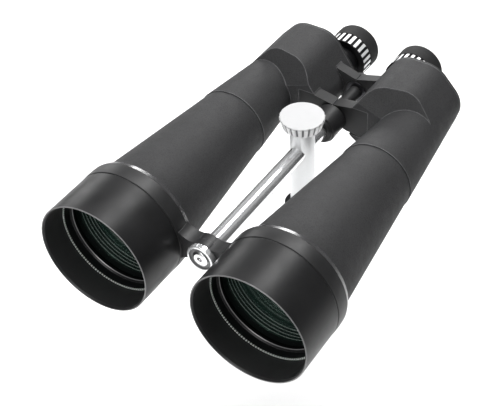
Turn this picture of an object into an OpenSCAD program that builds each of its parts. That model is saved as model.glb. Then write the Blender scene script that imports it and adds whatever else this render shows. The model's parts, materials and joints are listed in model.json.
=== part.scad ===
// Giant astronomy binoculars: two conical Porro-prism telescopes on a centre hinge, with a chrome rod
// between them and a sliding tripod post on the rod.
// The origin is the mouth of the tripod thread under the post's foot. +Z is up, -Y is the way they look,
// and +Y is towards the user. Left and right are the user's, so the left half is at +X.
// Inside the modules, y is measured back from the hood rims, and x and z from the hinge axis.

/* [Optical layout] */
// Distance from the hinge axis to each objective axis
objective_x = 78.3; // [78:0.1:80]
// Distance from the hinge axis to each eyepiece axis
eyepiece_x = 36.5; // [36:0.1:37]
// Radius of the objective glass
lens_r = 51.5; // [50:0.1:51.5]
// Height of a Porro prism, from its long face to its apex
prism_h = 28.8; // [28.2:0.1:29]

/* [Barrels] */
// Outer radius of the objective hood
hood_r = 56; // [56:0.5:57]
// Length of the objective hood
hood_len = 50; // [50:0.5:51]
// Radius of the rubber armour where it meets the front bracket
front_r = 50.9; // [50.5:0.1:51.5]
// Radius of the front armour at the seam in front of the prism housing
seam_r = 36.1; // [36:0.1:37]
// Distance from the hood rim back to that seam
seam_y = 216; // [214:1:218]
// Thickness of the rubber armour
armour_t = 2; // [1.6:0.1:2.2]

/* [Prism housing] */
// Distance from the hood rim back to the housing's flat front face
housing_y = 275; // [274:1:276]
// Distance from the hood rim back to the rear cover
cover_y = 342; // [341:1:343]
// Thickness of the rear cover
cover_t = 3; // [2.5:0.1:4]
// Wall thickness of the cast housing
housing_wall = 2.2; // [1.8:0.1:2.4]

/* [Eyepieces] */
// Outer radius of the silver focus ring
focus_r = 24.4; // [23.5:0.1:25]
// Number of ribs round the focus ring
focus_ribs = 24; // [18:1:30]
// Outer radius of the rubber eyecup
eyecup_r = 24.5; // [24:0.1:25]
// Distance from the hood rim back to the eyecup's lip
eyecup_y = 394; // [392:1:396]

/* [Rod and tripod post] */
// Radius of the chrome rod
rod_r = 8.15; // [7.5:0.05:8.5]
// Radius of the tripod post
post_r = 12; // [11:0.5:12.5]
// Distance from the hood rim back to the post's axis
post_y = 218; // [200:1:225]
// Height of the hinge axis above the underside of the foot
hinge_h = 74; // [70:1:80]
// Radius of the tripod foot
foot_r = 17.9; // [16:0.1:18]
// Radius of the clamp knob at its top
knob_r = 21.6; // [18:0.1:22]
// Number of ribs round the clamp knob
knob_ribs = 22; // [16:1:30]

/* [Hidden] */
$fn = 96;
SIDES = ["left", "right"];
HALF_PARTS = [
    "objective_hood", "objective_cell", "retaining_ring", "crown_lens", "flint_lens",
    "front_bracket", "bracket_arm", "barrel_tube", "barrel_armour", "baffle_rings", "rear_barrel",
    "prism_housing", "housing_armour", "prism_plate", "prisms", "prism_clips",
    "rear_cover", "cover_screws", "eyepiece_tube", "eyepiece_barrel", "eyepiece_lenses",
    "focus_ring", "eyecup"
];
CENTRE_PARTS = [
    "tripod_post", "tripod_foot", "thread_insert", "clamp_shoe", "clamp_screw", "clamp_knob",
    "centre_rod", "front_cap", "cap_screw", "rod_socket", "hinge_axle", "hinge_tube",
    "hinge_washers", "rear_cap"
];
NODES = concat(CENTRE_PARTS, [for (side = SIDES) for (part = HALF_PARTS) str(side, "_", part)]);
node = "all";

run_gap = 0.05;      // radial clearance of a running fit
fit_gap = 0.05;      // gap between two fixed pieces, so that their faces don't overlap
far = 400;           // larger than the whole object

// objective end
hood_bore_r = 53.6;
hood_relief = 1;        // the hood's bore is wider behind the land that a dust cap fits
cap_land_end = 25.5;
hood_lip_r = 55;
cell_y = 25.7;
cell_end_y = 62;
ring_y = 35;
glass_y = 40;
glass_end_y = 60;
glass_join_y = 45;
lens_sphere_r = 245;
lens_bulge = lens_sphere_r - sqrt(pow(lens_sphere_r, 2) - pow(lens_r, 2));

// front bracket
bracket_end_y = 69;
bracket_lip_y = 66;
bracket_bore_r = 49.3;
arm_y = 52;
arm_len = 15;
knuckle_r = 13.5;
neck_fillet = 20;
neck_overlap = 2;      // how far the fillets run into the ring
top_relief = 0.3;
fold_relief = 2.4;
arc_step = 4;

// barrel cones
front_slope = (front_r - seam_r) / (seam_y - bracket_end_y);
rear_r = seam_r + 0.8;
rear_slope = 0.1035;
tube_wall = 1.8;
spigot_r = 31.6;
spigot_len = 10;

// hinge at the prism housing
lug_r = 12.4;
lug_gap_r = 12.6;
lug_top = 14;
front_lug = [275, 12.5, 18.4];       // y, width and height of the top edge at the housing
rear_lug = [321.7, 10.5, 21.2];
axle_r = 5;
washer_t = 1;

// prisms
plate_y = 308.5;
plate_t = 3;
beam_r = 12.5;
prism_half_w = 12.5;
prism_half_l = 28;
prism_mid = [(objective_x + eyepiece_x) / 2, (objective_x - eyepiece_x) / 2];

// eyepieces
eye_tube_r = 17.5;
eye_bore_r = 14.55;
eye_barrel_r = eye_bore_r - run_gap;
focus_y = 360;
focus_len = 15;

// clamp
screw_r = 4;
shoe_z = rod_r + 0.05;
shoe_t = 2.4;
post_top = 26;
knob_z = 26.8;
knob_h = 12.4;
foot_t = 8;
thread_r = 3.175;
insert_r = 6;
insert_len = 14;

// Circles whose hull is the outline of the prism housing, as [x, z, radius], counter-clockwise from the
// eyepiece's
housing_circles = [
    [eyepiece_x, 0, 23],
    [objective_x, 0, 23.5],
    [objective_x - 2, 6, 27.3],
    [objective_x - 12.3, 18.5, 26.5],
    [eyepiece_x + 15.5, 20, 25]
];

// ---------------------------------------------------------------- helpers

module bench() translate([0, -post_y, hinge_h]) children();

module half(side) {
    if (side == "left") bench() children();
    else bench() mirror([1, 0, 0]) children();
}

function wanted(name) = node == "all" || node == name;

// A body turned about an axis along +Y, from points [radius, y]
module turned(points, x = 0, z = 0)
    translate([x, 0, z]) rotate([-90, 0, 0]) rotate_extrude() polygon(points);

module rod_y(r, y1, y2, x = 0, z = 0)
    translate([x, y1, z]) rotate([-90, 0, 0]) cylinder(r = r, h = y2 - y1);

module tube_y(r_out, r_in, y1, y2, x = 0, z = 0)
    turned([[r_in, y1], [r_out, y1], [r_out, y2], [r_in, y2]], x, z);

// A flat outline in x and z, from y1 to y2
module slab_y(y1, y2) translate([0, y2, 0]) rotate([90, 0, 0]) linear_extrude(y2 - y1) children();

function front_armour_r(y) = front_r - front_slope * (y - bracket_end_y);
function tube_bore_r(y) = front_armour_r(y) - armour_t - tube_wall;
function rear_armour_r(y) = rear_r - rear_slope * (y - seam_y);

function unit(v) = v / norm(v);

// The outward unit normal of the tangent to two circles that are passed counter-clockwise
function tangent_normal(a, b) =
    let (
        d = [b[0] - a[0], b[1] - a[1]],
        u = unit(d),
        c = (a[2] - b[2]) / norm(d)
    )
    u * c + [u[1], -u[0]] * sqrt(1 - c * c);

function bearing(v) = atan2(v[1], v[0]);

// The arc of circle i of the housing between its two tangents
function housing_arc(i, inset) =
    let (
        count = len(housing_circles),
        c = housing_circles[i],
        from = bearing(tangent_normal(housing_circles[(i + count - 1) % count], c)),
        to = bearing(tangent_normal(c, housing_circles[(i + 1) % count])),
        span = (to - from + 360) % 360,
        steps = ceil(span / arc_step)
    )
    [for (k = [0:steps]) let (t = from + span * k / steps) [c[0], c[1]] + (c[2] - inset) * [cos(t), sin(t)]];

// The hull of the housing circles with every radius reduced by inset
module housing_outline(inset)
    polygon([for (i = [0:len(housing_circles) - 1]) each housing_arc(i, inset)]);

// Everything behind the sloping crescent of the shoulder, moved back by inset
shoulder_normal = unit([-0.2, 1, -0.5]);
module behind_shoulder(inset) {
    point = [35, housing_y, 24] + shoulder_normal * inset;
    yaw = atan2(-shoulder_normal[0], shoulder_normal[1]);
    pitch = asin(shoulder_normal[2]);
    translate(point) rotate([0, 0, yaw]) rotate([pitch, 0, 0])
        translate([-far / 2, 0, -far / 2]) cube(far);
}

// The armoured rear of a half: the end of the barrel cone with the prism housing on it
module housing_solid(inset, y1, y2) {
    turned([
        [0, y1], [rear_armour_r(y1) - inset, y1],
        [rear_armour_r(y2) - inset, y2], [0, y2]
    ], objective_x);
    intersection() {
        slab_y(housing_y + inset, y2) housing_outline(inset);
        behind_shoulder(inset);
    }
}

// ---------------------------------------------------------------- objective

module objective_hood() color("#161617") turned([
    [hood_lip_r, 0], [hood_r - 0.3, 0], [hood_r, 0.4], [hood_r, hood_len - 0.5],
    [hood_r - 0.4, hood_len], [hood_bore_r + hood_relief, hood_len],
    [hood_bore_r + hood_relief, cap_land_end], [hood_bore_r, cap_land_end], [hood_bore_r, 1.5]
], objective_x);

cell_seat_r = hood_bore_r + hood_relief - fit_gap;
module objective_cell() color("#101011") turned([
    [lens_r + 0.9, cell_y], [hood_bore_r - 0.6, cell_y], [hood_bore_r - fit_gap, cell_y + 0.5],
    [hood_bore_r - fit_gap, cell_y + 1], [cell_seat_r, cell_y + 1], [cell_seat_r, hood_len - fit_gap],
    [hood_bore_r - fit_gap, hood_len - fit_gap], [hood_bore_r - fit_gap, cell_end_y - fit_gap],
    [lens_r - 2.5, cell_end_y - fit_gap],
    [lens_r - 2.5, glass_end_y + fit_gap], [lens_r + 0.1, glass_end_y + fit_gap],
    [lens_r + 0.1, ring_y], [lens_r + 0.9, ring_y - 0.8]
], objective_x);

module retaining_ring() color("#0d0d0e") turned([
    [lens_r - 1.6, ring_y + 0.6], [lens_r - 1, ring_y], [lens_r + fit_gap, ring_y],
    [lens_r + fit_gap, glass_y - 0.25], [lens_r - 0.6, glass_y - 0.25],
    [lens_r - 1.2, glass_y - 1.5]
], objective_x);

module crown_lens() color("#3d5a4e") intersection() {
    rod_y(lens_r, glass_y - lens_bulge - 1, glass_join_y + lens_bulge + 1, objective_x);
    translate([objective_x, glass_y - lens_bulge + lens_sphere_r, 0]) sphere(r = lens_sphere_r, $fn = 360);
    translate([objective_x, glass_join_y + lens_bulge - lens_sphere_r, 0])
        sphere(r = lens_sphere_r, $fn = 360);
}

module flint_lens() color("#36504a") difference() {
    rod_y(lens_r, glass_join_y + fit_gap, glass_end_y, objective_x);
    translate([objective_x, glass_join_y + fit_gap + lens_bulge - lens_sphere_r, 0])
        sphere(r = lens_sphere_r, $fn = 360);
}

// ---------------------------------------------------------------- front bracket

neck_ring_d = hood_r - neck_overlap + neck_fillet;

// Centre of the fillet circle that meets the ring and passes the hinge axis at knuckle_d
function fillet_centre(knuckle_d) =
    let (
        x = (pow(objective_x, 2) + pow(knuckle_d, 2) - pow(neck_ring_d, 2)) / (2 * objective_x)
    )
    [x, sqrt(pow(knuckle_d, 2) - pow(x, 2))];

// The point of the fillet circle with centre f that is deepest in the ring
function ring_touch(f) = f + ([objective_x, 0] - f) * neck_fillet / neck_ring_d;

// The waist between the knuckle and the ring. Its lower fillet cuts deeper into the knuckle than its upper
// one, so that the halves can fold down
module bracket_neck() {
    top = fillet_centre(knuckle_r + neck_fillet - top_relief);
    low = fillet_centre(knuckle_r + neck_fillet - fold_relief);
    top_touch = ring_touch(top);
    low_touch = ring_touch(low);
    difference() {
        polygon([
            top * knuckle_r / norm(top), top, top_touch, [low_touch[0], -low_touch[1]],
            [low[0], -low[1]], [low[0], -low[1]] * knuckle_r / norm(low)
        ]);
        translate(top) circle(r = neck_fillet);
        translate([low[0], -low[1]]) circle(r = neck_fillet);
    }
}

// The outside of the bracket's ring, moved outwards by gap
function bracket_rim(gap) = [
    [hood_r - 0.5 + gap, hood_len + fit_gap], [hood_r + 0.2 + gap, hood_len + 0.9],
    [hood_r + 0.4 + gap, hood_len + 8], [hood_r + gap, bracket_end_y - 4.2],
    [hood_r - 3.6 + gap, bracket_end_y]
];

module front_bracket() color("#191919") turned(concat(
    [[hood_bore_r, hood_len + fit_gap]],
    bracket_rim(0),
    [[bracket_bore_r, bracket_end_y], [bracket_bore_r, bracket_lip_y], [hood_bore_r, bracket_lip_y]]
), objective_x);

// The two arms share the rod: the right one's knuckle is in front and the left one's behind it
module bracket_arm(side) color("#191919") {
    own_y = side == "right" ? arm_y : arm_y + arm_len / 2;
    other_y = side == "right" ? arm_y + arm_len / 2 : arm_y;
    knuckle_len = arm_len / 2;
    difference() {
        union() {
            difference() {
                slab_y(arm_y + fit_gap, arm_y + arm_len - fit_gap) bracket_neck();
                turned(concat(
                    [[0, hood_len + fit_gap]], bracket_rim(fit_gap), [[0, bracket_end_y]]
                ), objective_x);
                rod_y(knuckle_r + 0.15, other_y - fit_gap, other_y + knuckle_len + fit_gap);
            }
            rod_y(knuckle_r, own_y + fit_gap, own_y + knuckle_len - fit_gap);
        }
        rod_y(rod_r + run_gap, arm_y - 1, arm_y + arm_len + 1);
    }
}

// ---------------------------------------------------------------- barrel

module barrel_tube() color("#2b2b2d") turned([
    [lens_r - 4, cell_end_y], [hood_bore_r - fit_gap, cell_end_y],
    [hood_bore_r - fit_gap, bracket_lip_y - fit_gap],
    [bracket_bore_r - fit_gap, bracket_lip_y - fit_gap], [bracket_bore_r - fit_gap, bracket_end_y],
    [front_r - armour_t, bracket_end_y], [seam_r - armour_t, seam_y],
    [spigot_r, seam_y], [spigot_r, seam_y + spigot_len], [spigot_r - 1.6, seam_y + spigot_len],
    [spigot_r - 1.6, seam_y + 1], [tube_bore_r(seam_y - 2), seam_y - 2],
    [tube_bore_r(bracket_end_y), bracket_end_y]
], objective_x);

module barrel_armour() color("#3a3a3c") turned([
    [front_r - armour_t + fit_gap, bracket_end_y + fit_gap], [front_r - 0.5, bracket_end_y + fit_gap],
    [front_r, bracket_end_y + 0.6], [seam_r + 0.05, seam_y - 0.7], [seam_r - 0.5, seam_y - 0.1],
    [seam_r - armour_t + fit_gap, seam_y - 0.1]
], objective_x);

baffle_count = 6;
baffle_y = 84;
baffle_pitch = 24;
module baffle_rings() color("#1b1d1c") for (i = [0:baffle_count - 1]) {
    y = baffle_y + i * baffle_pitch;
    outer = tube_bore_r(y + 1.2) - fit_gap;
    turned([
        [outer - 3.4, y], [outer, y], [outer, y + 1.2], [outer - 3, y + 1.2]
    ], objective_x);
}

// ---------------------------------------------------------------- prism housing

// One hinge lug: a plate from the housing to a knuckle that takes half of the plate's width
module lug(spec, own_first) {
    y = spec[0];
    width = spec[1];
    own_y = own_first ? y : y + width / 2;
    other_y = own_first ? y + width / 2 : y;
    difference() {
        slab_y(y + fit_gap, y + width - fit_gap) polygon([
            [0.2, lug_top], [24, spec[2]], [38, spec[2]], [38, -14], [16, -12], [9, -10.2]
        ]);
        rod_y(lug_gap_r, other_y - fit_gap, other_y + width / 2 + fit_gap);
    }
    rod_y(lug_r, own_y + fit_gap, own_y + width / 2 - fit_gap);
}

module housing_cavity() {
    inset = armour_t + housing_wall;
    housing_solid(inset, seam_y - 1, cover_y + 1);
}

// The conical casting that joins the barrel to the prism housing
module rear_barrel() color("#242426") {
    y1 = seam_y + fit_gap;
    y2 = housing_y + armour_t - fit_gap;
    turned([
        [rear_armour_r(y1) - armour_t - housing_wall, y1], [rear_armour_r(y1) - armour_t, y1],
        [rear_armour_r(y2) - armour_t, y2], [rear_armour_r(y2) - armour_t - housing_wall, y2]
    ], objective_x);
}

module prism_housing(side) color("#242426") difference() {
    union() {
        housing_solid(armour_t, housing_y + armour_t, cover_y - fit_gap);
        lug(front_lug, side == "right");
        lug(rear_lug, side == "left");
    }
    housing_cavity();
    rod_y(axle_r + run_gap, housing_y - 1, cover_y);
}

// The window in the armour that a lug passes through
module lug_window(spec) {
    margin = 0.1;
    translate([0, spec[0] - margin, -14 - margin]) cube([38, spec[1] + 2 * margin, spec[2] + 14 + 2 * margin]);
}

module housing_armour() color("#3a3a3c") difference() {
    housing_solid(0, seam_y + fit_gap, cover_y - fit_gap);
    housing_solid(armour_t - fit_gap, seam_y - 1, cover_y + 1);
    lug_window(front_lug);
    lug_window(rear_lug);
}

module prism_plate() color("#5a5b5d") difference() {
    slab_y(plate_y, plate_y + plate_t) housing_outline(armour_t + housing_wall + fit_gap);
    for (p = [[objective_x, 0], prism_mid, [eyepiece_x, 0]])
        rod_y(beam_r, plate_y - 1, plate_y + plate_t + 1, p[0], p[1]);
}

// A Porro prism with its hypotenuse on y = 0, its apex towards +Y and its length along +X
module porro_prism() {
    end_flat = prism_h - prism_half_l;
    translate([0, 0, -prism_half_w]) linear_extrude(2 * prism_half_w) polygon([
        [-prism_half_l, 0], [prism_half_l, 0], [prism_half_l, end_flat],
        [0.6, prism_h - 0.6], [-0.6, prism_h - 0.6], [-prism_half_l, end_flat]
    ]);
}

// The strap that crosses the prism's apex and is bent down both of its sides
module prism_strap() {
    strap_w = 6;
    strap_t = 0.6;
    strap_h = prism_h - 0.5;
    translate([-strap_w / 2, fit_gap, 0]) difference() {
        translate([0, 0, -prism_half_w - strap_t - fit_gap])
            cube([strap_w, strap_h + strap_t, 2 * (prism_half_w + strap_t + fit_gap)]);
        translate([-1, -1, -prism_half_w - fit_gap])
            cube([strap_w + 2, strap_h + 1, 2 * (prism_half_w + fit_gap)]);
    }
}

// The rear prism takes the beam from the objective axis to the top of the housing
module at_rear_prism() translate([
    (objective_x + prism_mid[0]) / 2, plate_y + plate_t + fit_gap, prism_mid[1] / 2
]) rotate([0, 45, 0]) children();

// The front prism takes it from there to the eyepiece axis
module at_front_prism() translate([
    (eyepiece_x + prism_mid[0]) / 2, plate_y - fit_gap, prism_mid[1] / 2
]) rotate([0, -45, 0]) mirror([0, 1, 0]) children();

module prisms() color("#7f9aa0") {
    at_rear_prism() porro_prism();
    at_front_prism() porro_prism();
}

module prism_clips() color("#8d8f92") {
    at_rear_prism() prism_strap();
    at_front_prism() prism_strap();
}

cover_screw_spots = [
    [eyepiece_x - 1.5, 24.6], [prism_mid[0] + 2, prism_mid[1] + 18.6],
    [objective_x + 17.5, -3], [prism_mid[0], -17.8]
];
cover_screw_r = 2.4;
cover_screw_h = 1.4;

module rear_cover() color("#2c2c2e") difference() {
    union() {
        slab_y(cover_y, cover_y + cover_t - 0.9) housing_outline(0.1);
        slab_y(cover_y, cover_y + cover_t) housing_outline(1);
    }
    rod_y(eye_tube_r + fit_gap, cover_y - 1, cover_y + cover_t + 1, eyepiece_x);
    for (p = cover_screw_spots)
        rod_y(cover_screw_r + fit_gap, cover_y + cover_t - 1, cover_y + cover_t + 1, p[0], p[1]);
}

module cover_screws() color("#4a4a4c") for (p = cover_screw_spots) difference() {
    rod_y(cover_screw_r, cover_y + cover_t - 0.98, cover_y + cover_t - 0.98 + cover_screw_h, p[0], p[1]);
    for (turn = [0, 90]) translate([p[0], cover_y + cover_t + cover_screw_h - 1.3, p[1]])
        rotate([0, turn, 0]) translate([-1.5, 0, -0.25]) cube([3, 2, 0.5]);
}

// ---------------------------------------------------------------- eyepiece

module eyepiece_tube() color("#1c1c1d") turned([
    [eye_bore_r, cover_y - 3], [eye_tube_r, cover_y - 3], [eye_tube_r, cover_y + cover_t + fit_gap],
    [eye_tube_r + 2.5, cover_y + cover_t + fit_gap], [eye_tube_r + 2.5, cover_y + cover_t + 3],
    [eye_tube_r, cover_y + cover_t + 3.8], [eye_tube_r, focus_y + focus_len - 5],
    [eye_bore_r, focus_y + focus_len - 5]
], eyepiece_x);

module eyepiece_barrel() color("#202022") turned([
    [eye_barrel_r - 1.5, focus_y - 12], [eye_barrel_r, focus_y - 12],
    [eye_barrel_r, focus_y + focus_len + 0.1], [focus_r - 2.6, focus_y + focus_len + 0.1],
    [focus_r - 2.6, focus_y + focus_len + 3], [eye_barrel_r + 1.5, focus_y + focus_len + 3],
    [eye_barrel_r + 1.5, focus_y + focus_len + 9], [eye_barrel_r - 1.5, focus_y + focus_len + 9]
], eyepiece_x);

eye_lens_r = eye_barrel_r - 1.5 - fit_gap;
eye_lens_sphere_r = 40;
module eyepiece_lenses() color("#4a5f58") {
    tube_y(eye_lens_r, 0, focus_y - 9, focus_y - 5, eyepiece_x);
    back = focus_y + focus_len + 7.5;
    intersection() {
        rod_y(eye_lens_r, back - 6, back, eyepiece_x);
        translate([eyepiece_x, back - eye_lens_sphere_r, 0]) sphere(r = eye_lens_sphere_r, $fn = 240);
    }
}

module focus_ring() color("#d9dadb") {
    groove_w = 2.1;
    groove_depth = 0.9;
    bore_r = eye_tube_r + 0.1;
    difference() {
        turned([
            [bore_r, focus_y], [focus_r - 0.6, focus_y], [focus_r, focus_y + 0.6],
            [focus_r, focus_y + focus_len - 0.6], [focus_r - 0.6, focus_y + focus_len],
            [bore_r, focus_y + focus_len]
        ], eyepiece_x);
        for (i = [0:focus_ribs - 1])
            translate([eyepiece_x, focus_y + 1.2, 0]) rotate([0, (i + 0.5) * 360 / focus_ribs, 0])
                translate([focus_r - groove_depth, 0, -groove_w / 2])
                cube([4, focus_len - 2.4, groove_w]);
    }
}

module eyecup() color("#141414") {
    base_y = focus_y + focus_len + 0.4;
    turned([
        [focus_r - 2.5, base_y], [eyecup_r - 0.4, base_y], [eyecup_r, base_y + 0.6],
        [eyecup_r, eyecup_y - 3], [eyecup_r - 0.9, eyecup_y - 0.8], [eyecup_r - 2.2, eyecup_y],
        [eyecup_r - 3.6, eyecup_y - 0.7], [eyecup_r - 4.2, eyecup_y - 2.5], [18.2, eyecup_y - 9],
        [eye_barrel_r + 1.6, eyecup_y - 10], [eye_barrel_r + 1.6, focus_y + focus_len + 3.05],
        [focus_r - 2.5, focus_y + focus_len + 3.05]
    ], eyepiece_x);
}

// ---------------------------------------------------------------- rod and hinge

rod_y1 = 47.6;
rod_y2 = 262;
boss_y = 248;
boss_end_y = front_lug[0] - washer_t;
boss_r = 15;
rear_cap_r = 13.2;
cap_y = 47;

module centre_rod() color("#e3e4e6") difference() {
    rod_y(rod_r, rod_y1 + 1.4, rod_y2);
    rod_y(2.55, rod_y1 - 1, rod_y1 + 16);
}

module front_cap() color("#e8e9ea") turned([
    [rod_r + fit_gap, cap_y + 1.6], [knuckle_r - 2.8, cap_y + 1.6], [knuckle_r - 2.3, cap_y],
    [knuckle_r - 0.6, cap_y], [knuckle_r, cap_y + 0.6], [knuckle_r, arm_y], [rod_r + fit_gap, arm_y]
]);

module cap_screw() color("#f0f0f0") difference() {
    union() {
        turned([
            [0, cap_y - 0.4], [5.6, cap_y - 0.4], [7.6, cap_y + 0.4], [7.9, cap_y + 1],
            [7.9, cap_y + 2], [0, cap_y + 2]
        ]);
        rod_y(2.5, cap_y + 1, cap_y + 15);
    }
    rod_y(2.4, cap_y - 1, cap_y + 1.4, 0, 0);
}

module rod_socket() color("#1a1a1b") turned([
    [rod_r + fit_gap, boss_y], [boss_r - 2.6, boss_y], [boss_r - 1.6, boss_y + 1],
    [boss_r - 1.6, boss_y + 3], [boss_r, boss_y + 4.2], [boss_r, boss_end_y - 0.6],
    [boss_r - 0.6, boss_end_y], [axle_r + fit_gap, boss_end_y], [axle_r + fit_gap, rod_y2 + fit_gap],
    [rod_r + fit_gap, rod_y2 + fit_gap]
]);

rear_lug_end = rear_lug[0] + rear_lug[1];
module hinge_axle() color("#9b9ea2") rod_y(axle_r, rod_y2 + 0.1, rear_lug_end + 3);

module hinge_tube() color("#39393b")
    tube_y(7, axle_r + fit_gap, front_lug[0] + front_lug[1] + washer_t, rear_lug[0] - washer_t);

module hinge_washers() color("#b89a5a") {
    for (y = [front_lug[0] - washer_t, front_lug[0] + front_lug[1], rear_lug[0] - washer_t])
        tube_y(lug_r - 1.4, axle_r + fit_gap, y + 0.02, y + washer_t - 0.02);
}

module rear_cap() color("#2a2a2b") turned([
    [0, rear_lug_end + 3.1], [axle_r + fit_gap, rear_lug_end + 3.1],
    [axle_r + fit_gap, rear_lug_end + fit_gap], [rear_cap_r - 0.8, rear_lug_end + fit_gap],
    [rear_cap_r, rear_lug_end + 0.9], [rear_cap_r, rear_lug_end + 3.4], [rear_cap_r - 1.2, rear_lug_end + 5.2],
    [rear_cap_r - 4, rear_lug_end + 6.2], [0, rear_lug_end + 6.6]
]);

// ---------------------------------------------------------------- tripod post and clamp

post_bottom = foot_t - hinge_h;

module tripod_post() color("#dcdde0") difference() {
    translate([0, post_y, post_bottom]) cylinder(r = post_r, h = post_top - post_bottom);
    rod_y(rod_r + run_gap, post_y - post_r - 1, post_y + post_r + 1);
    translate([0, post_y, 0]) cylinder(r = screw_r + run_gap, h = post_top + 1);
    translate([0, post_y, post_bottom - 1]) cylinder(r = insert_r + fit_gap, h = insert_len - foot_t + 1.1);
}

module tripod_foot() color("#242425") translate([0, post_y, -hinge_h]) difference() {
    rotate_extrude() polygon([
        [0, 0], [foot_r - 0.8, 0], [foot_r, 0.8], [foot_r, foot_t - 1.2],
        [foot_r - 1.2, foot_t - fit_gap], [0, foot_t - fit_gap]
    ]);
    translate([0, 0, -1]) cylinder(r = insert_r + fit_gap, h = foot_t + 2);
}

module thread_insert() color("#b8a468") translate([0, post_y, -hinge_h]) difference() {
    cylinder(r = insert_r, h = insert_len);
    translate([0, 0, -1]) cylinder(r = thread_r, h = insert_len - 1);
}

module clamp_shoe() color("#c2a15c") translate([0, post_y, shoe_z]) cylinder(r = screw_r, h = shoe_t);

module clamp_screw() color("#c9cacd")
    translate([0, post_y, shoe_z + shoe_t + fit_gap])
    cylinder(r = screw_r, h = knob_z + knob_h - 4 - shoe_z - shoe_t);

module clamp_knob() color("#e6e6e7") {
    taper = 2.9;
    rib_depth = 0.8;
    difference() {
        translate([0, post_y, knob_z]) rotate_extrude() polygon([
            [0, 0], [knob_r - taper - 1.6, 0], [knob_r - taper - 0.6, 0.6], [knob_r - taper, 1.6],
            [knob_r, knob_h - 1], [knob_r - 0.9, knob_h], [0, knob_h]
        ]);
        translate([0, post_y, knob_z - 1]) cylinder(r = screw_r + fit_gap, h = knob_h - 2.8);
        for (i = [0:knob_ribs - 1])
            translate([0, post_y, knob_z + 1.6]) rotate([0, 0, i * 360 / knob_ribs])
                translate([knob_r - taper - rib_depth, 0, 0])
                rotate([0, atan((taper) / (knob_h - 2.6)), 0])
                translate([0, -1.1, -1]) cube([5, 2.2, knob_h - 1.4]);
    }
}

// ---------------------------------------------------------------- the assembly

if (wanted("tripod_post")) bench() tripod_post();
if (wanted("tripod_foot")) bench() tripod_foot();
if (wanted("thread_insert")) bench() thread_insert();
if (wanted("clamp_shoe")) bench() clamp_shoe();
if (wanted("clamp_screw")) bench() clamp_screw();
if (wanted("clamp_knob")) bench() clamp_knob();
if (wanted("centre_rod")) bench() centre_rod();
if (wanted("front_cap")) bench() front_cap();
if (wanted("cap_screw")) bench() cap_screw();
if (wanted("rod_socket")) bench() rod_socket();
if (wanted("hinge_axle")) bench() hinge_axle();
if (wanted("hinge_tube")) bench() hinge_tube();
if (wanted("hinge_washers")) bench() hinge_washers();
if (wanted("rear_cap")) bench() rear_cap();

for (side = SIDES) {
    if (wanted(str(side, "_objective_hood"))) half(side) objective_hood();
    if (wanted(str(side, "_objective_cell"))) half(side) objective_cell();
    if (wanted(str(side, "_retaining_ring"))) half(side) retaining_ring();
    if (wanted(str(side, "_crown_lens"))) half(side) crown_lens();
    if (wanted(str(side, "_flint_lens"))) half(side) flint_lens();
    if (wanted(str(side, "_front_bracket"))) half(side) front_bracket();
    if (wanted(str(side, "_bracket_arm"))) half(side) bracket_arm(side);
    if (wanted(str(side, "_barrel_tube"))) half(side) barrel_tube();
    if (wanted(str(side, "_barrel_armour"))) half(side) barrel_armour();
    if (wanted(str(side, "_baffle_rings"))) half(side) baffle_rings();
    if (wanted(str(side, "_rear_barrel"))) half(side) rear_barrel();
    if (wanted(str(side, "_prism_housing"))) half(side) prism_housing(side);
    if (wanted(str(side, "_housing_armour"))) half(side) housing_armour();
    if (wanted(str(side, "_prism_plate"))) half(side) prism_plate();
    if (wanted(str(side, "_prisms"))) half(side) prisms();
    if (wanted(str(side, "_prism_clips"))) half(side) prism_clips();
    if (wanted(str(side, "_rear_cover"))) half(side) rear_cover();
    if (wanted(str(side, "_cover_screws"))) half(side) cover_screws();
    if (wanted(str(side, "_eyepiece_tube"))) half(side) eyepiece_tube();
    if (wanted(str(side, "_eyepiece_barrel"))) half(side) eyepiece_barrel();
    if (wanted(str(side, "_eyepiece_lenses"))) half(side) eyepiece_lenses();
    if (wanted(str(side, "_focus_ring"))) half(side) focus_ring();
    if (wanted(str(side, "_eyecup"))) half(side) eyecup();
}
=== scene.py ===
"""Looks of the astronomy binoculars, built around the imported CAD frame.

Lengths are in metres in the frame's own axes: +Z up, -Y the way the binoculars look, +X the user's left.
Turned pieces are cut again from the outline of their CAD node, with rounded corners and finer rings.
"""
import json
from math import cos, radians, sin, sqrt, tan, tau

import bpy
import numpy as np
from mathutils import Matrix, Vector


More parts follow.
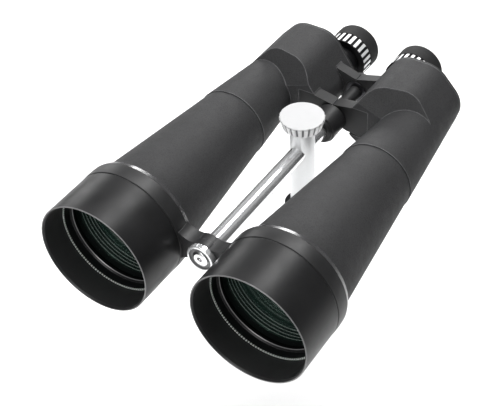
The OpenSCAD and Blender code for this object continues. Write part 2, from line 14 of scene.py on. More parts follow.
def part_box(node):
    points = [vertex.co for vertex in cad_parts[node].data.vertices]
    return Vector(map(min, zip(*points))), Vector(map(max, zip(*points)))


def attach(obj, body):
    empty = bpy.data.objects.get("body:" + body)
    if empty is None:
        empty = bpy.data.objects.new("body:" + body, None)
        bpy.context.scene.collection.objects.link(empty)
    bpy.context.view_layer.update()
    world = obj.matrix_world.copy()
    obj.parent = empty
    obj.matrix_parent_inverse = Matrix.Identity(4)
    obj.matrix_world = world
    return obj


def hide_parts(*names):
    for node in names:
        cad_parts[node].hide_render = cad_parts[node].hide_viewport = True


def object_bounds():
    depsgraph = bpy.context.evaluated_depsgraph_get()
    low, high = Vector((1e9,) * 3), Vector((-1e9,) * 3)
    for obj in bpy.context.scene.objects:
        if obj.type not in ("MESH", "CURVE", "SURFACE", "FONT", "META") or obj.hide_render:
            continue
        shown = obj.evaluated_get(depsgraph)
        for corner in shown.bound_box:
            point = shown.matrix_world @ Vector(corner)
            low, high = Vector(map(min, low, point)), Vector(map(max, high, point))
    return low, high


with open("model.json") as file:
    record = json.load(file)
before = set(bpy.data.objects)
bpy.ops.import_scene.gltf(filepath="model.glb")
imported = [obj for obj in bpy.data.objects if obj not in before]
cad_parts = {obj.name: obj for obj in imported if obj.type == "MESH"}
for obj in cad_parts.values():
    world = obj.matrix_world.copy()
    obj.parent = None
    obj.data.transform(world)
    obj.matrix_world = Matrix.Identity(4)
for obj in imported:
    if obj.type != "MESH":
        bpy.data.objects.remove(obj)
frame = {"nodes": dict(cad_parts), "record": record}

cad_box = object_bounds()

MM = 0.001
SIDES = (("left", 1), ("right", -1))
BODY_OF = {node: body for body, nodes in frame["record"]["behaviour"]["bodies"].items() for node in nodes}
SLOT_OF = {row["node"]: row["material_slot"] for row in frame["record"]["subparts"]}


# ------------------------------------------------------------------ shader graphs

class Shader:
    """A material's node tree, with short calls for the nodes that the finishes share."""

    def __init__(self, name):
        self.material = bpy.data.materials.new(name)
        self.material.use_nodes = True
        self.tree = self.material.node_tree
        self.tree.nodes.clear()
        self.place = self.node("ShaderNodeTexCoord").outputs["Object"]

    def node(self, kind, inputs=None, **settings):
        made = self.tree.nodes.new(kind)
        for key, value in settings.items():
            setattr(made, key, value)
        for key, value in (inputs or {}).items():
            self.plug(made.inputs[key], value)
        return made

    def plug(self, socket, value):
        if isinstance(value, bpy.types.NodeSocket):
            self.tree.links.new(value, socket)
        elif hasattr(value, "__len__") and len(value) == 3 and socket.type == "RGBA":
            socket.default_value = (*value, 1)
        else:
            socket.default_value = value

    def math(self, operation, a, b=0.0, clamp=False):
        made = self.node("ShaderNodeMath", operation=operation, use_clamp=clamp)
        self.plug(made.inputs[0], a)
        self.plug(made.inputs[1], b)
        return made.outputs[0]

    def noise(self, size, detail=3.0, roughness=0.55, stretch=(1, 1, 1), shift=0.0):
        """Noise from 0 to 1 with features about size across, longer along an axis with a small stretch."""
        mapping = self.node("ShaderNodeMapping", {"Vector": self.place, "Scale": stretch,
                                                  "Location": (shift, shift, shift)})
        made = self.node("ShaderNodeTexNoise", {"Vector": mapping.outputs[0], "Scale": 1 / size,
                                                "Detail": detail, "Roughness": roughness})
        return made.outputs["Fac"]

    def cells(self, size, feature="F1", smoothness=0.5):
        made = self.node("ShaderNodeTexVoronoi", {"Vector": self.place, "Scale": 1 / size},
                         feature="SMOOTH_F1" if feature == "F1" else feature)
        if "Smoothness" in made.inputs:
            made.inputs["Smoothness"].default_value = smoothness
        return made.outputs["Distance"]

    def spread(self, value, low, high, out_low=0.0, out_high=1.0):
        """Maps low..high of a value to out_low..out_high, clamped."""
        made = self.node("ShaderNodeMapRange", {"Value": value, "From Min": low, "From Max": high,
                                                "To Min": out_low, "To Max": out_high})
        return made.outputs[0]

    def blend(self, factor, a, b, mode="MIX"):
        made = self.node("ShaderNodeMix", data_type="RGBA", blend_type=mode)
        self.plug(made.inputs["Factor"], factor)
        self.plug(made.inputs["A"], a)
        self.plug(made.inputs["B"], b)
        return made.outputs["Result"]

    def edges(self, radius):
        """1 on convex and concave edges within radius, 0 on faces."""
        bevel = self.node("ShaderNodeBevel", {"Radius": radius}, samples=6)
        plain = self.node("ShaderNodeNewGeometry").outputs["Normal"]
        dot = self.node("ShaderNodeVectorMath", {0: bevel.outputs[0], 1: plain}, operation="DOT_PRODUCT")
        return self.spread(self.math("SUBTRACT", 1.0, dot.outputs["Value"]), 0.01, 0.16)

    def soft_edges(self, radius):
        return self.node("ShaderNodeBevel", {"Radius": radius}, samples=8).outputs[0]

    def bump(self, height, depth, strength=1.0, normal=None):
        made = self.node("ShaderNodeBump", {"Height": height, "Strength": strength, "Distance": depth})
        if normal is not None:
            self.plug(made.inputs["Normal"], normal)
        return made.outputs[0]

    def finish(self, **inputs):
        bsdf = self.node("ShaderNodeBsdfPrincipled")
        for key, value in inputs.items():
            self.plug(bsdf.inputs[key.replace("_", " ")], value)
        output = self.node("ShaderNodeOutputMaterial")
        self.tree.links.new(bsdf.outputs[0], output.inputs["Surface"])
        return self.material


def scaled(colour, factor):
    return tuple(c * factor for c in colour)


def paint(name, colour, roughness, orange_peel=0.4, blotch=0.18, worn=(0.3, 0.3, 0.31), wear=0.35,
          edge=0.35 * MM, specular=0.4, peel_size=0.7 * MM, round_edges=0.0):
    """Sprayed paint over metal: soft blotches, orange peel, dust specks and edges rubbed thin."""
    s = Shader(name)
    broad = s.noise(30 * MM, 3)
    fine = s.noise(1.3 * MM, 2, shift=3.1)
    tone = s.blend(s.spread(broad, 0.3, 0.7), scaled(colour, 1 - blotch), scaled(colour, 1 + blotch))
    speck = s.spread(s.cells(2.3 * MM, smoothness=0.0), 0.0, 0.12, 0.5, 0.0)
    tone = s.blend(s.math("MULTIPLY", speck, 0.25), tone, scaled(colour, 2.6))
    rubbed = s.math("MULTIPLY", s.edges(edge), s.spread(s.noise(3 * MM, 4, shift=7.7), 0.35, 0.7, 0.2, 1.0))
    tone = s.blend(s.math("MULTIPLY", rubbed, wear), tone, worn)
    rough = s.spread(s.noise(18 * MM, 4, shift=1.7), 0.3, 0.7, roughness - 0.04, roughness + 0.05)
    height = s.math("ADD", s.math("MULTIPLY", s.noise(peel_size, 2), orange_peel),
                    s.math("MULTIPLY", fine, 0.3 * orange_peel))
    smooth = s.soft_edges(round_edges) if round_edges else None
    return s.finish(Base_Color=tone, Roughness=rough, Specular_IOR_Level=specular,
                    Normal=s.bump(height, 0.03 * MM, 0.5, smooth))


def armour(name, colour, grain=0.9 * MM, depth=0.16 * MM, roughness=0.62, specular=0.35,
           edge=0.9 * MM, edge_wear_and_highlight=0.45):
    """Moulded rubber with a fine pebble grain, painted shade in the creases between pebbles, and paler edges
    that are partly wear from use and partly a painted highlight.
    """
    s = Shader(name)
    pebble = s.cells(grain, smoothness=0.6)
    crease = s.noise(grain * 0.45, 3, 0.6)
    height = s.math("ADD", s.math("MULTIPLY", pebble, -1.0), s.math("MULTIPLY", crease, 0.45))
    broad = s.noise(42 * MM, 4, 0.6)
    patch = s.noise(9 * MM, 3, shift=5.3)
    tone = s.blend(s.spread(broad, 0.3, 0.7), scaled(colour, 0.88), scaled(colour, 1.1))
    tone = s.blend(s.spread(patch, 0.4, 0.75, 0.0, 0.35), tone, scaled(colour, 1.25))
    # darker in the low creases between the pebbles: painted shade
    tone = s.blend(s.spread(pebble, 0.35, 0.75, 0.0, 0.55), tone, scaled(colour, 0.45))
    # paler edges: partly wear from use, partly a painted highlight where the edges catch the light
    worn_and_lit_edges = s.math("MULTIPLY", s.edges(edge), s.spread(patch, 0.35, 0.6, 0.45, 1.0))
    tone = s.blend(s.math("MULTIPLY", worn_and_lit_edges, edge_wear_and_highlight), tone, scaled(colour, 5.0))
    rough = s.spread(patch, 0.3, 0.7, roughness - 0.05, roughness + 0.07)
    return s.finish(Base_Color=tone, Roughness=rough, Specular_IOR_Level=specular,
                    Normal=s.bump(height, depth, 0.8, s.soft_edges(0.5 * MM)))


def metal(name, colour, roughness, brushed=(1, 1, 1), brush_depth=0.004 * MM, smudge=0.05, tarnish=0.06,
          round_edges=0.25 * MM, dark=(0.25, 0.25, 0.26), metallic=1.0, spotted=0.12):
    """Bare or plated metal: faint machining lines, smudges that dull it, and tarnish and spots that darken it
    here and there.
    """
    s = Shader(name)
    lines = s.noise(0.35 * MM, 2, stretch=brushed)
    haze = s.noise(14 * MM, 5, 0.65, shift=2.2)
    spots = s.spread(s.cells(6 * MM, smoothness=0.1), 0.0, 0.1, 1.0, 0.0)
    tone = s.blend(s.spread(haze, 0.35, 0.75, 0.0, tarnish), colour, dark)
    tone = s.blend(s.math("MULTIPLY", spots, spotted), tone, scaled(colour, 0.6))
    rough = s.math("ADD", s.spread(haze, 0.3, 0.75, roughness, roughness + smudge),
                   s.math("MULTIPLY", lines, 0.04))
    return s.finish(Base_Color=tone, Metallic=metallic, Roughness=rough,
                    Normal=s.bump(lines, brush_depth, 1.0, s.soft_edges(round_edges)))


def coated_glass(name, tint, coating, alpha):
    """Glass seen through, with a coloured coating that shows where light glances off."""
    s = Shader(name)
    glance = s.node("ShaderNodeFresnel", {"IOR": 1.45}).outputs[0]
    haze = s.noise(25 * MM, 4)
    tone = s.blend(s.spread(haze, 0.3, 0.7), scaled(tint, 0.8), scaled(tint, 1.2))
    cover = s.math("ADD", s.math("MULTIPLY", glance, 0.6), alpha, clamp=True)
    return s.finish(Base_Color=tone, Roughness=s.spread(haze, 0.3, 0.7, 0.04, 0.09), Alpha=cover,
                    Specular_IOR_Level=0.7, Specular_Tint=coating)


FINISHES = {
    "rubber_armour": armour("armour_rubber", (0.029, 0.029, 0.03), specular=0.18),
    "eyecup_rubber": armour("eyecup_rubber", (0.013, 0.013, 0.0135), grain=0.6 * MM, depth=0.05 * MM,
                            roughness=0.7, specular=0.22),
    "hood_paint": paint("satin_black", (0.008, 0.008, 0.0084), 0.38, wear=0.5, worn=(0.55, 0.55, 0.56),
                        specular=0.2),
    "bracket_paint": paint("casting_black", (0.012, 0.012, 0.0125), 0.42, orange_peel=0.9, blotch=0.25,
                           wear=0.4, round_edges=0.4 * MM, specular=0.28),
    "casting_paint": paint("casting_grey", (0.016, 0.016, 0.0165), 0.5, orange_peel=1.4, peel_size=0.5 * MM,
                           wear=0.3, round_edges=0.5 * MM, specular=0.25),
    "tube_paint": paint("tube_primer", (0.03, 0.03, 0.032), 0.6),
    "baffle_black": paint("baffle_black", (0.012, 0.013, 0.0125), 0.5),
    "black_anodised": paint("black_anodised", (0.006, 0.006, 0.0065), 0.36, orange_peel=0.2,
                            worn=(0.6, 0.6, 0.62), wear=0.6, edge=0.25 * MM, specular=0.15),
    "silver_aluminium": metal("silver_aluminium", (0.74, 0.74, 0.745), 0.4, brush_depth=0.0015 * MM,
                              round_edges=0.2 * MM, metallic=0.55, spotted=0.03, tarnish=0.03),
    "plate_aluminium": metal("plate_aluminium", (0.55, 0.56, 0.57), 0.42, smudge=0.12),
    "chrome": metal("chrome", (0.84, 0.845, 0.855), 0.08, brushed=(1, 0.02, 1), brush_depth=0.001 * MM,
                    metallic=0.82, spotted=0.03, tarnish=0.03),
    "bright_steel": metal("bright_steel", (0.8, 0.8, 0.81), 0.18),
    "spring_steel": metal("spring_steel", (0.45, 0.45, 0.47), 0.3, brushed=(0.05, 1, 1)),
    "black_steel": metal("black_steel", (0.07, 0.07, 0.075), 0.35),
    "brass": metal("brass", (0.74, 0.58, 0.26), 0.25, dark=(0.3, 0.22, 0.1)),
    "coated_glass": coated_glass("coated_glass", (0.006, 0.014, 0.011), (0.5, 1.0, 0.75), 0.03),
    "prism_glass": coated_glass("prism_glass", (0.35, 0.42, 0.42), (0.9, 1.0, 1.0), 0.3),
}
GROOVE_BLACK = paint("groove_black", (0.006, 0.006, 0.0065), 0.5, wear=0.0, specular=0.15)
# A bright, greenish metal for the teeth of the cell's lip, the crests of the bore's ridges and the baffles'
# inner edges: a painted highlight standing in for the light these thin edges catch.
BRIGHT_PAINTED_HIGHLIGHT = metal("bright_painted_highlight", (0.84, 0.9, 0.86), 0.3, round_edges=0.2 * MM, metallic=0.3)
# The housing's rubber with wider, stronger pale edges: mostly a painted highlight along the edges of the
# crescent.
HOUSING_RUBBER_PAINTED_HIGHLIGHT = armour("housing_rubber_painted_highlight", (0.029, 0.029, 0.03), specular=0.18, edge=1.8 * MM, edge_wear_and_highlight=0.9)
POST_METAL = metal("post_metal", (0.7, 0.71, 0.715), 0.33, brushed=(1, 1, 0.05), brush_depth=0.002 * MM,
                   metallic=0.6, spotted=0.05)
# A duller, darker copy of the silver for the knob's top: painted shade, so that the top facing the overhead
# light comes out darker than the sides.
KNOB_TOP_PAINTED_SHADE = metal("knob_top_painted_shade", (0.4, 0.4, 0.404), 0.55, metallic=0.3, smudge=0.1, spotted=0.03)
# A lighter grey, glossier paint for the hood's rim corners and the retaining ring's chamfer: a painted
# highlight on these edges.
GREY_PAINTED_HIGHLIGHT = paint("grey_painted_highlight", (0.1, 0.1, 0.102), 0.3, specular=0.5)
# A greyer paint inside the hood: painted light standing in for the light that falls into its bore.
HOOD_LINING_PAINTED_LIGHT = paint("hood_lining_painted_light", (0.019, 0.019, 0.0195), 0.5, specular=0.3, wear=0.0)
MATT_BLACK = paint("matt_black", (0.004, 0.004, 0.0042), 0.85, wear=0.0, specular=0.04)
# A darker grey metal for the front cap's recessed ring and the knob's grooves: painted shade in these recesses.
PAINTED_SHADE_GREY = metal("painted_shade_grey", (0.12, 0.12, 0.123), 0.4, metallic=0.3)
# A glossier paint for the bracket's rear chamfer, lighter than the bracket's own: the lighter colour is a
# painted highlight.
GLOSSY_CHAMFER_PAINTED_HIGHLIGHT = paint("glossy_chamfer_painted_highlight", (0.03, 0.03, 0.031), 0.22, orange_peel=0.5, wear=0.3, specular=0.7,
                    round_edges=0.3 * MM)


# ------------------------------------------------------------------ turned pieces

ON_AXIS = 1e-5
SHARP_TURN = radians(12)
SMOOTH_BELOW = radians(40)
ARC_STEPS = 4


class Turned:
    """The closed outlines, as (radius, place along the axis), of a CAD node that is a body of revolution."""

    def __init__(self, node, axis="y"):
        low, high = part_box(node)
        self.node = node
        self.axis = "xyz".index(axis)
        self.across = [i for i in range(3) if i != self.axis]
        mesh = frame["nodes"][node].data
        points = np.array([v.co for v in mesh.vertices], float)
        self.centre = self.find_centre(points, (low + high) / 2)
        off = points[:, self.across] - self.centre[self.across]
        ring = np.round(np.column_stack([np.hypot(off[:, 0], off[:, 1]), points[:, self.axis]]), 5)
        rim = np.zeros(len(points), bool)
        uses = {}
        for polygon in mesh.polygons:
            for key in polygon.edge_keys:
                uses[key] = uses.get(key, 0) + 1
        for key, count in uses.items():
            if count == 1:
                rim[list(key)] = True
        keys, index = np.unique(ring, axis=0, return_inverse=True)
        index = index.reshape(-1)
        self.points = [tuple(k) for k in keys]
        self.next = {int(i): set() for i in np.unique(index[rim])}
        for a, b in uses:
            i, j = int(index[a]), int(index[b])
            if i != j and rim[a] and rim[b]:
                self.next[i].add(j)
                self.next[j].add(i)

    def find_centre(self, points, guess):
        """The middle of the outermost circle at the node's low end: a circle through all of its points."""
        flat = points[:, self.across]
        end = flat[points[:, self.axis] < points[:, self.axis].min() + 0.001 * MM]
        reach = np.hypot(*(end - np.array(guess)[self.across]).T)
        circle = end[reach > reach.max() - 0.05 * MM]
        table = np.column_stack([2 * circle, np.ones(len(circle))])
        found = np.linalg.lstsq(table, (circle ** 2).sum(1), rcond=None)[0]
        centre = np.array(guess)
        centre[self.across] = found[:2]
        return centre

    def outlines(self):
        """Each outline in order. One that reaches the axis runs from it and back to it."""
        left = set(self.next)
        found = []
        while left:
            ends = [i for i in left if len(self.next[i]) == 1]
            at = min(ends) if ends else min(left)
            chain = [at]
            left.discard(at)
            while True:
                onward = [i for i in self.next[chain[-1]] if i in left]
                if not onward:
                    break
                chain.append(min(onward))
                left.discard(chain[-1])
            outline = [self.points[i] for i in chain]
            if ends:
                first, last = outline[0], outline[-1]
                if first[0] > 0:
                    outline.insert(0, (0.0, first[1]))
                if last[0] > 0:
                    outline.append((0.0, last[1]))
            found.append(outline)
        return found


def rounded(outline, radius, closed=True):
    """The outline with its corners turned into arcs, and a support point just outside each arc."""
    points = [Vector(p) for p in outline]
    count = len(points)
    result = []
    for i, here in enumerate(points):
        if not closed and i in (0, count - 1):
            result.append(tuple(here))
            continue
        before, after = points[i - 1], points[(i + 1) % count]
        d_in, d_out = here - before, after - here
        if d_in.length < 1e-7 or d_out.length < 1e-7:
            continue
        turn = d_in.angle(d_out)
        if turn < SHARP_TURN:
            result.append(tuple(here))
            continue
        cut = min(radius * tan(turn / 2), 0.42 * d_in.length, 0.42 * d_out.length)
        start, end = here - d_in.normalized() * cut, here + d_out.normalized() * cut
        result.append(tuple(start - d_in.normalized() * cut * 0.15))
        for k in range(ARC_STEPS + 1):
            t = k / ARC_STEPS
            a, b = start.lerp(here, t), here.lerp(end, t)
            result.append(tuple(a.lerp(b, t)))
        result.append(tuple(end + d_out.normalized() * cut * 0.15))
    return result


def mesh_object(name, vertices, faces, materials, indices=None):
    mesh = bpy.data.meshes.new(name)
    mesh.from_pydata(vertices, [], faces)
    for material in materials:
        mesh.materials.append(material)
    if indices is not None:
        mesh.polygons.foreach_set("material_index", indices)
    mesh.validate()
    mesh.shade_smooth()
    mesh.set_sharp_from_angle(angle=SMOOTH_BELOW)
    made = bpy.data.objects.new(name, mesh)
    bpy.context.scene.collection.objects.link(made)
    return made


def stand_for(piece, node):
    """piece takes a CAD node's place and body, and the node is hidden."""
    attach(piece, BODY_OF[node])
    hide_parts(node)
    return piece


def spin(name, outlines, shape, segments, shift=None, finish=None, material_of=None):
    """Turns closed outlines about a node's axis. shift(angle, r, t) can move a point, as for ribs."""
    vertices, faces, indices = [], [], []
    for outline in outlines:
        area = sum(p[0] * q[1] - q[0] * p[1] for p, q in zip(outline, outline[1:] + outline[:1]))
        if area < 0:
            outline = outline[::-1]
        closed = all(p[0] > ON_AXIS for p in outline)
        if not closed:
            start = next(i for i, p in enumerate(outline) if max(p[0], outline[i - 1][0]) <= ON_AXIS)
            outline = outline[start:] + outline[:start]
        rows = []
        for r, t in outline:
            row = []
            count = 1 if r <= ON_AXIS else segments
            for k in range(count):
                angle = tau * k / segments
                rr, tt = shift(angle, r, t) if shift and count > 1 else (r, t)
                place = [0.0, 0.0, 0.0]
                place[shape.axis] = tt
                place[shape.across[0]] = shape.centre[shape.across[0]] + rr * cos(angle)
                place[shape.across[1]] = shape.centre[shape.across[1]] + rr * sin(angle)
                row.append(len(vertices))
                vertices.append(place)
            rows.append(row)
        pairs = list(zip(range(len(rows)), list(range(1, len(rows))) + [0]))
        for i, j in pairs if closed else pairs[:-1]:
            a, b = rows[i], rows[j]
            for k in range(segments):
                n = (k + 1) % segments
                corners = [a[k % len(a)], a[n % len(a)], b[n % len(b)], b[k % len(b)]]
                corners = list(dict.fromkeys(corners))
                if len(corners) > 2:
                    faces.append(corners[::-1] if shape.axis == 1 else corners)
                    middle = tau * (k + 0.5) / segments
                    indices.append(material_of(outline[i], outline[j], middle) if material_of else 0)
    return mesh_object(name, vertices, faces, finish, indices)


def turn_node(node, corner=0.35 * MM, segments=144, axis="y", shift=None, extra=None, material_of=None,
              outlines=None):
    """A finer copy of a turned CAD node. outlines(shape), if given, replaces the node's own outlines."""
    shape = Turned(node, axis)
    made = outlines(shape) if outlines else shape.outlines()
    made = [rounded(o, corner, closed=o[0][0] > ON_AXIS) for o in made]
    finish = [FINISHES[SLOT_OF[node]]] + (extra or [])
    piece = spin(f"{node}_turned", made, shape, segments, shift, finish, material_of)
    return stand_for(piece, node)


def in_groove(angle, count, share):
    """True where an angle falls in one of count grooves that each take share of the pitch."""
    return abs((angle * count / tau) % 1.0 - 0.5) < share / 2


def lens_outlines(front_sphere, back_sphere):
    """The outline of a lens. A sphere's radius is positive where the face bulges and 0 where it is flat."""
    def outlines(shape):
        low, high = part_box(shape.node)
        rim = (high.x - low.x) / 2
        centre = (low + high) / 2
        shape.centre = np.array(centre)

        def sag(sphere, r):
            return sphere and abs(sphere) / sphere * (abs(sphere) - sqrt(sphere ** 2 - r ** 2))

        front = low.y + max(-sag(front_sphere, rim), 0.0)
        back = high.y - max(-sag(back_sphere, rim), 0.0)
        radii = [rim * k / 20 for k in range(21)]
        face = [(r, front + sag(front_sphere, r)) for r in radii]
        return [face + [(r, back - sag(back_sphere, r)) for r in reversed(radii)]]
    return outlines


OWN_FINISH = {"tripod_post": POST_METAL, "left_housing_armour": HOUSING_RUBBER_PAINTED_HIGHLIGHT,
              "right_housing_armour": HOUSING_RUBBER_PAINTED_HIGHLIGHT}
for name, node in frame["nodes"].items():
    node.data.materials.clear()
    node.data.materials.append(OWN_FINISH.get(name, FINISHES[SLOT_OF[name]]))


# ------------------------------------------------------------------ pieces

HOOD_BORE = 54.7 * MM
CHAMFER_LENGTH = 4.2 * MM
CHAMFER_LIFT = 0.52
CELL_TEETH = 132
LENS_SPHERE = 245 * MM
FOCUS_RIBS = 24
KNOB_RIBS = 22
RIDGE_PITCH = 3.1 * MM
RIDGE_CREST = 0.85 * MM
RIDGE_DEPTH = 0.7 * MM


def ridged(outline, bore, start, count):
    """The outline with count grooves turned into its bore from start on, each with a narrow crest before it."""
    end = start + count * RIDGE_PITCH
    wall = sorted((p for p in outline if p[0] < bore), key=lambda p: p[1])
    places, radii = [p[1] for p in wall], [p[0] for p in wall]
    kept = [p for p in outline if p[0] > bore or not start < p[1] < end]
    steps = [(start + k * RIDGE_PITCH + offset, cut) for k in range(count) for offset, cut in (
        (0, 0), (RIDGE_CREST, 0), (RIDGE_CREST + 0.1 * MM, RIDGE_DEPTH), (RIDGE_PITCH - 0.1 * MM, RIDGE_DEPTH))]
    profile = [(float(np.interp(t, places, radii)) + cut, t) for t, cut in steps + [(end, 0)]]
    result = []
    for here, after in zip(kept, kept[1:] + kept[:1]):
        result.append(here)
        if max(here[0], after[0]) < bore:
            if here[1] <= start and after[1] >= end:
                result += profile
            elif here[1] >= end and after[1] <= start:
                result += profile[::-1]
    return result


def on_crest(a, b, bore):
    return max(a[0], b[0]) < bore and abs(a[0] - b[0]) < 0.09 * MM and 0.6 * MM < abs(a[1] - b[1]) < 0.95 * MM


def add_cell(side):
    """The objective cell, with a toothed lip at its mouth and fine ridges behind the glass; the teeth and the
    ridges' crests get the painted highlight, the grooves between the teeth matt black.
    """
    node = f"{side}_objective_cell"
    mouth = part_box(node)[0].y
    bore = 51.65 * MM
    lip_end = mouth + 1.3 * MM

    def teeth(angle, r, t):
        cut = 0.45 * MM if t < mouth + 0.75 * MM and in_groove(angle, CELL_TEETH, 0.5) else 0.0
        return r, t + cut

    def material_of(a, b, angle):
        if max(a[1], b[1]) < lip_end + 0.1 * MM and min(a[0], b[0]) < 53.6 * MM:
            return 2 if in_groove(angle, CELL_TEETH, 0.5) else 1
        return 1 if on_crest(a, b, bore) else 0

    def outlines(shape):
        made = []
        for outline in shape.outlines():
            grown = []
            for here, after in zip(outline, outline[1:] + outline[:1]):
                grown.append(here)
                if max(here[0], after[0]) < 52.6 * MM and (here[1] - lip_end) * (after[1] - lip_end) < 0:
                    grown.append((here[0], lip_end))
            made.append(ridged(grown, bore, mouth + 21 * MM, 4))
        return made

    return turn_node(node, 0.02 * MM, 4 * CELL_TEETH, shift=teeth, extra=[BRIGHT_PAINTED_HIGHLIGHT, MATT_BLACK],
                     material_of=material_of, outlines=outlines)


def add_tube(side):
    """The barrel tube, with the same ridges at the front of its bore, their crests given the painted highlight.
    """
    node = f"{side}_barrel_tube"
    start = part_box(node)[0].y
    bore = 47.55 * MM

    def outlines(shape):
        return [ridged(o, bore, start + 0.8 * MM, 6) for o in shape.outlines()]

    def material_of(a, b, angle):
        return 1 if on_crest(a, b, bore) and max(a[1], b[1]) < start + 7 * RIDGE_PITCH else 0

    return turn_node(node, 0.02 * MM, 192, outlines=outlines, extra=[BRIGHT_PAINTED_HIGHLIGHT], material_of=material_of)


def add_baffles(side):
    """The baffles, each with a painted highlight on its inner edge."""
    def material_of(a, b, angle):
        return 1 if abs(a[0] - b[0]) > 0.1 * MM and abs(a[1] - b[1]) > 0.6 * MM else 0
    return turn_node(f"{side}_baffle_rings", 0.1 * MM, 128, extra=[BRIGHT_PAINTED_HIGHLIGHT], material_of=material_of)


def add_hood(side):
    """The dew hood, with its rim's corners painted a lighter grey as a highlight, and a lining painted greyer
    to stand in for the light that enters it.
    """
    node = f"{side}_objective_hood"
    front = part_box(node)[0].y

    def material_of(a, b, angle):
        at_front = max(a[1], b[1]) < front + 0.6 * MM
        face = abs(a[1] - b[1]) < 0.002 * MM and abs(a[0] - b[0]) > 1.0 * MM
        if at_front:
            return 0 if face else 1
        return 2 if max(a[0], b[0]) < HOOD_BORE else 0

    return turn_node(node, 0.5 * MM, 192, extra=[GREY_PAINTED_HIGHLIGHT, HOOD_LINING_PAINTED_LIGHT], material_of=material_of)


def add_retaining_ring(side):
    """The retaining ring: a chamfer painted lighter grey as a highlight, in front of a matt bore."""
    node = f"{side}_retaining_ring"
    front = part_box(node)[0].y

    def material_of(a, b, angle):
        middle = (a[0] + b[0]) / 2
        if middle < 50.6 * MM and max(a[1], b[1]) < front + 0.8 * MM and abs(a[1] - b[1]) > 0.1 * MM:
            return 1
        return 2

    return turn_node(node, 0.05 * MM, 192, extra=[GREY_PAINTED_HIGHLIGHT, MATT_BLACK], material_of=material_of)


def add_bracket(side):
    """The front bracket's ring, with a long chamfer at its rear in a glossier paint, painted lighter as a
    highlight.
    """
    node = f"{side}_front_bracket"
    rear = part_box(node)[1].y

    def outlines(shape):
        """The node's outlines, with the chamfer lifted so that it slopes less."""
        def lifted(r, t):
            return r + (t - rear + CHAMFER_LENGTH) * CHAMFER_LIFT if r > 52 * MM and t > rear - 4 * MM else r
        return [[(lifted(r, t), t) for r, t in outline] for outline in shape.outlines()]

    def material_of(a, b, angle):
        slope = min(a[0], b[0]) > 52 * MM and min(a[1], b[1]) > rear - 4.6 * MM and abs(a[0] - b[0]) > 0.01 * MM
        return 1 if slope and max(a[1], b[1]) < rear else 0

    return turn_node(node, 0.3 * MM, 192, extra=[GLOSSY_CHAMFER_PAINTED_HIGHLIGHT], material_of=material_of, outlines=outlines)


def add_front_cap():
    """The cup at the rod's front end, with painted shade, a darker grey metal, in the ring between its rim and
    the screw.
    """
    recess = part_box("front_cap")[0].y + 1.5 * MM

    def material_of(a, b, angle):
        # the recessed ring gets the painted shade
        return 1 if max(a[0], b[0]) < 11.3 * MM and min(a[1], b[1]) < recess + 0.2 * MM else 0

    return turn_node("front_cap", 0.1 * MM, 128, extra=[PAINTED_SHADE_GREY], material_of=material_of)


def add_focus_ring(side):
    """The focus ring: silver ribs with black grooves between them, and a plain black band at its front."""
    node = f"{side}_focus_ring"
    low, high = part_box(node)
    radius = (high.x - low.x) / 2
    bore, groove_start, groove_end = 17.6 * MM, low.y + 1.2 * MM, high.y - 0.25 * MM

    outline = [(bore, low.y), (radius - 0.5 * MM, low.y), (radius, low.y + 0.5 * MM),
               (radius, groove_start - 0.05 * MM), (radius, groove_start + 0.05 * MM),
               (radius, groove_end - 0.05 * MM), (radius, groove_end),
               (radius - 1.2 * MM, high.y), (bore, high.y)]

    def cut(angle, r, t):
        deep = r > radius - 0.3 * MM and t > groove_start and in_groove(angle, FOCUS_RIBS, 0.36)
        return (r - 1.1 * MM if deep else r), t

    def material_of(a, b, angle):
        if max(a[1], b[1]) < groove_start:
            return 1
        return 1 if min(a[0], b[0]) > radius - 1.3 * MM and in_groove(angle, FOCUS_RIBS, 0.5) else 0

    shape = Turned(node)
    shape.centre = np.array((low + high) / 2)
    finish = [FINISHES[SLOT_OF[node]], GROOVE_BLACK]
    outline = rounded(outline, 0.02 * MM)
    piece = spin(f"{node}_ribbed", [outline], shape, 12 * FOCUS_RIBS, cut, finish, material_of)
    return stand_for(piece, node)


def add_knob():
    """The clamp knob: a flared, ribbed rim round a flat top, with painted shade in its grooves and a darker
    painted-shade copy of the silver on its top.
    """
    node = "clamp_knob"
    low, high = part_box(node)
    radius = (high.x - low.x) / 2
    foot = radius - 2.9 * MM
    bore, depth = 4.05 * MM, 8.6 * MM

    def cut(angle, r, t):
        rim = foot + (radius - foot) * (t - low.z) / (high.z - low.z)
        on_side = r > rim - 1.3 * MM and low.z + 1.5 * MM < t < high.z - 0.7 * MM
        return (r - 0.8 * MM if on_side and in_groove(angle, KNOB_RIBS, 0.4) else r), t

    def material_of(a, b, angle):
        # the top gets the darker copy of the silver: painted shade
        if min(a[1], b[1]) > high.z - 1.2 * MM:
            return 2
        # the grooves between the ribs get the darker grey metal: painted shade
        rib = min(a[0], b[0]) > foot and min(a[1], b[1]) > low.z + 1.5 * MM
        return 1 if rib and in_groove(angle, KNOB_RIBS, 0.3) else 0

    outline = [(0.0, low.z + depth), (bore, low.z + depth), (bore, low.z), (foot - 1.6 * MM, low.z),
               (foot - 0.6 * MM, low.z + 0.6 * MM), (foot, low.z + 1.6 * MM),
               (foot + 0.1 * MM, low.z + 1.9 * MM), (radius, high.z - 1.0 * MM),
               (radius - 0.9 * MM, high.z), (0.0, high.z)]
    shape = Turned(node, "z")
    shape.centre = np.array((low + high) / 2)
    outline = rounded(outline, 0.35 * MM, closed=False)
    finish = [FINISHES[SLOT_OF[node]], PAINTED_SHADE_GREY, KNOB_TOP_PAINTED_SHADE]
    piece = spin(f"{node}_ribbed", [outline], shape, 15 * KNOB_RIBS, cut, finish, material_of)
    return stand_for(piece, node)


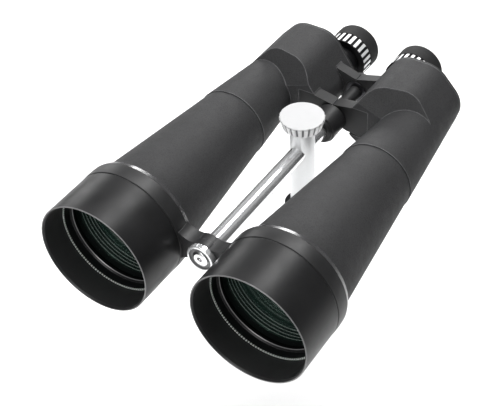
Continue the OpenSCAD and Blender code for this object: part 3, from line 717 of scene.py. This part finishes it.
for side, sign in SIDES:
    add_hood(side)
    add_cell(side)
    add_retaining_ring(side)
    turn_node(f"{side}_crown_lens", 0.0, 144, outlines=lens_outlines(LENS_SPHERE, LENS_SPHERE))
    turn_node(f"{side}_flint_lens", 0.0, 144, outlines=lens_outlines(-LENS_SPHERE, 0.0))
    add_bracket(side)
    turn_node(f"{side}_barrel_armour", 0.3 * MM, 192)
    add_tube(side)
    add_baffles(side)
    turn_node(f"{side}_eyepiece_tube", 0.3 * MM, 128)
    turn_node(f"{side}_eyepiece_barrel", 0.2 * MM, 128)
    turn_node(f"{side}_eyecup", 0.6 * MM, 144)
    add_focus_ring(side)
turn_node("centre_rod", 0.3 * MM, 128)
add_front_cap()
turn_node("cap_screw", 0.3 * MM, 96)
turn_node("rod_socket", 0.5 * MM, 128)
turn_node("hinge_tube", 0.2 * MM, 96)
turn_node("rear_cap", 0.5 * MM, 128)
turn_node("tripod_foot", 0.4 * MM, 128, axis="z")
add_knob()

# ------------------------------------------------------------------ stage

CAMERA_AT = (0.4577, -0.7561, 0.8113)
CAMERA_AZIMUTH = radians(32.22)
CAMERA_ELEVATION = radians(40.50)
CAMERA_ROLL = radians(1.17)
CAMERA_LENS = 87.94
CAMERA_SHIFT = (-0.0718, -0.080)
FLOOR_Z = -0.26


def add_camera():
    data = bpy.data.cameras.new("camera")
    data.lens = CAMERA_LENS
    data.sensor_width = 36.0
    data.shift_x, data.shift_y = CAMERA_SHIFT
    data.clip_start, data.clip_end = 0.05, 20.0
    camera = bpy.data.objects.new("camera", data)
    bpy.context.scene.collection.objects.link(camera)
    right = Vector((cos(CAMERA_AZIMUTH), sin(CAMERA_AZIMUTH), 0))
    back = Vector((sin(CAMERA_AZIMUTH) * cos(CAMERA_ELEVATION),
                   -cos(CAMERA_AZIMUTH) * cos(CAMERA_ELEVATION), sin(CAMERA_ELEVATION)))
    up = back.cross(right)
    x_axis = right * cos(CAMERA_ROLL) - up * sin(CAMERA_ROLL)
    y_axis = right * sin(CAMERA_ROLL) + up * cos(CAMERA_ROLL)
    turned = Matrix((x_axis, y_axis, back)).transposed().to_4x4()
    camera.matrix_world = Matrix.Translation(CAMERA_AT) @ turned
    bpy.context.scene.camera = camera


def softbox(name, towards, distance, size, power, spread=180):
    """An area light in the direction towards, as seen from the middle of the object, facing it."""
    middle = (cad_box[0] + cad_box[1]) / 2
    data = bpy.data.lights.new(name, "AREA")
    data.shape = "RECTANGLE"
    data.size, data.size_y = size
    data.energy = power
    data.spread = radians(spread)
    light = bpy.data.objects.new(name, data)
    bpy.context.scene.collection.objects.link(light)
    direction = Vector(towards).normalized()
    light.location = middle + direction * distance
    light.rotation_mode = "QUATERNION"
    light.rotation_quaternion = direction.to_track_quat("Z", "Y")
    return light


def add_floor():
    s = Shader("floor_paper")
    tone = s.blend(s.noise(0.6, 2), (0.88, 0.88, 0.88), (0.92, 0.92, 0.92))
    paper = s.finish(Base_Color=tone, Roughness=0.9, Specular_IOR_Level=0.1,
                     Normal=s.bump(s.noise(2 * MM, 2), 0.02 * MM, 0.3))
    half = 6.0
    corners = [(-half, -half, FLOOR_Z), (half, -half, FLOOR_Z), (half, half, FLOOR_Z), (-half, half, FLOOR_Z)]
    floor = mesh_object("floor", corners, [(0, 1, 2, 3)], [paper])


def add_world():
    world = bpy.data.worlds.new("studio")
    bpy.context.scene.world = world
    world.use_nodes = True
    background = world.node_tree.nodes["Background"]
    background.inputs["Color"].default_value = (1, 1, 1, 1)
    background.inputs["Strength"].default_value = 0.26


add_camera()
add_world()
add_floor()
softbox("overhead", (0.05, 0.57, 0.82), 1.7, (0.6, 0.5), 13)
softbox("left_strip", (-0.85, 0.45, 0.25), 1.6, (0.4, 0.8), 4)
softbox("back_rim", (-0.42, 0.88, 0.22), 1.6, (0.6, 0.3), 9)
softbox("front_fill", (0.0, -0.9, 0.36), 1.8, (0.7, 0.5), 22)
softbox("ceiling", (-0.05, 0.12, 1.0), 1.9, (1.6, 1.6), 13, spread=75)
bpy.context.scene.view_settings.view_transform = "Standard"
